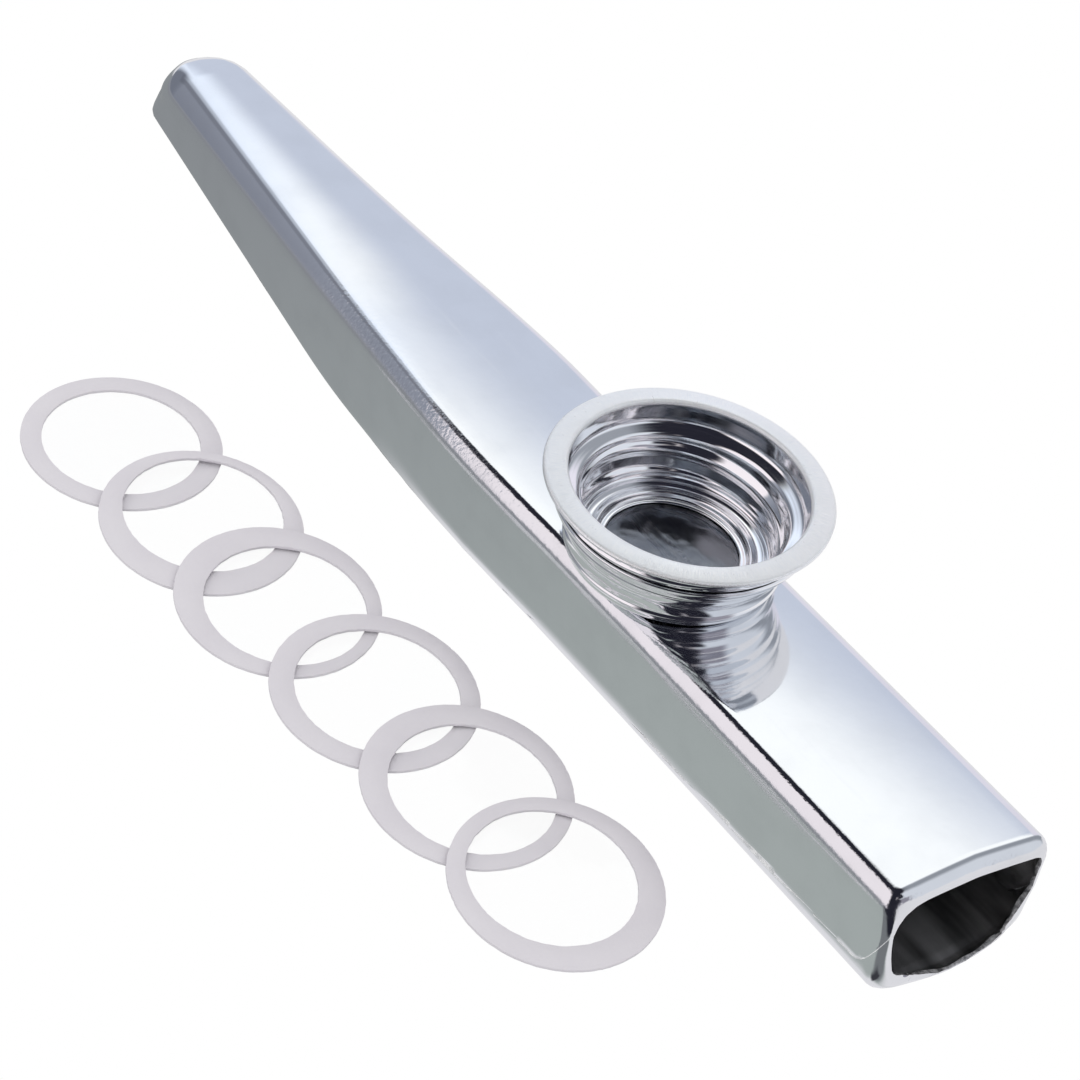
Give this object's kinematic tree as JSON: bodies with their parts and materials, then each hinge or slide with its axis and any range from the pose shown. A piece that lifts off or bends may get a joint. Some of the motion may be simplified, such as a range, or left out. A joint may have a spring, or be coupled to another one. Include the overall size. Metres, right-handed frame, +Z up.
{
  "type": "kazoo",
  "caption": "Chromed metal kazoo with a round turret cap over its membrane and a fanned row of spare paper-ringed membranes beside it",
  "frame": {"origin": "on the flat underside of the front part, directly below the axis of the turret", "axes": "+X from the mouth end to the open front end, +Z up through the turret, +Y the player's left as the kazoo is blown"},
  "size_m": [0.12, 0.05, 0.0187],
  "materials": {
    "chrome": "polished chromed sheet metal",
    "bright_chrome": "bright spun metal with fine turning marks",
    "paper": "matte coated paper, die cut",
    "film": "thin clear film"
  },
  "bodies": {
    "kazoo": {"upper_shell": "chrome", "lower_shell": "chrome", "turret_socket": "chrome"},
    "membrane": {"membrane_ring": "paper", "membrane_film": "film"},
    "cap": {"turret_cap": "bright_chrome"},
    "spare_1": {"spare_ring_1": "paper", "spare_film_1": "film"},
    "spare_2": {"spare_ring_2": "paper", "spare_film_2": "film"},
    "spare_3": {"spare_ring_3": "paper", "spare_film_3": "film"},
    "spare_4": {"spare_ring_4": "paper", "spare_film_4": "film"},
    "spare_5": {"spare_ring_5": "paper", "spare_film_5": "film"},
    "spare_6": {"spare_ring_6": "paper", "spare_film_6": "film"}
  },
  "joints": [
    {"name": "membrane_lift", "type": "slide", "parent": "kazoo", "child": "membrane", "axis": [0, 0, 1], "range_m": [0, 0.0052]},
    {"name": "cap_screw", "type": "hinge", "parent": "membrane", "child": "cap", "pos_m": [0, 0, 0.0187], "axis": [0, 0, 1], "range_deg": [0, 720]},
    {"name": "spare_1_lift", "type": "slide", "parent": "kazoo", "child": "spare_1", "axis": [0, 0, 1], "range_m": [0, 0.02]},
    {"name": "spare_2_lift", "type": "slide", "parent": "spare_1", "child": "spare_2", "axis": [0, 0, 1], "range_m": [0, 0.02]},
    {"name": "spare_3_lift", "type": "slide", "parent": "spare_2", "child": "spare_3", "axis": [0, 0, 1], "range_m": [0, 0.02]},
    {"name": "spare_4_lift", "type": "slide", "parent": "spare_3", "child": "spare_4", "axis": [0, 0, 1], "range_m": [0, 0.02]},
    {"name": "spare_5_lift", "type": "slide", "parent": "spare_4", "child": "spare_5", "axis": [0, 0, 1], "range_m": [0, 0.02]},
    {"name": "spare_6_lift", "type": "slide", "parent": "spare_5", "child": "spare_6", "axis": [0, 0, 1], "range_m": [0, 0.02]}
  ],
  "couplings": [
    {"joint": "cap_screw", "follows": "membrane_lift", "rad_per_m": 2416.6}
  ]
}
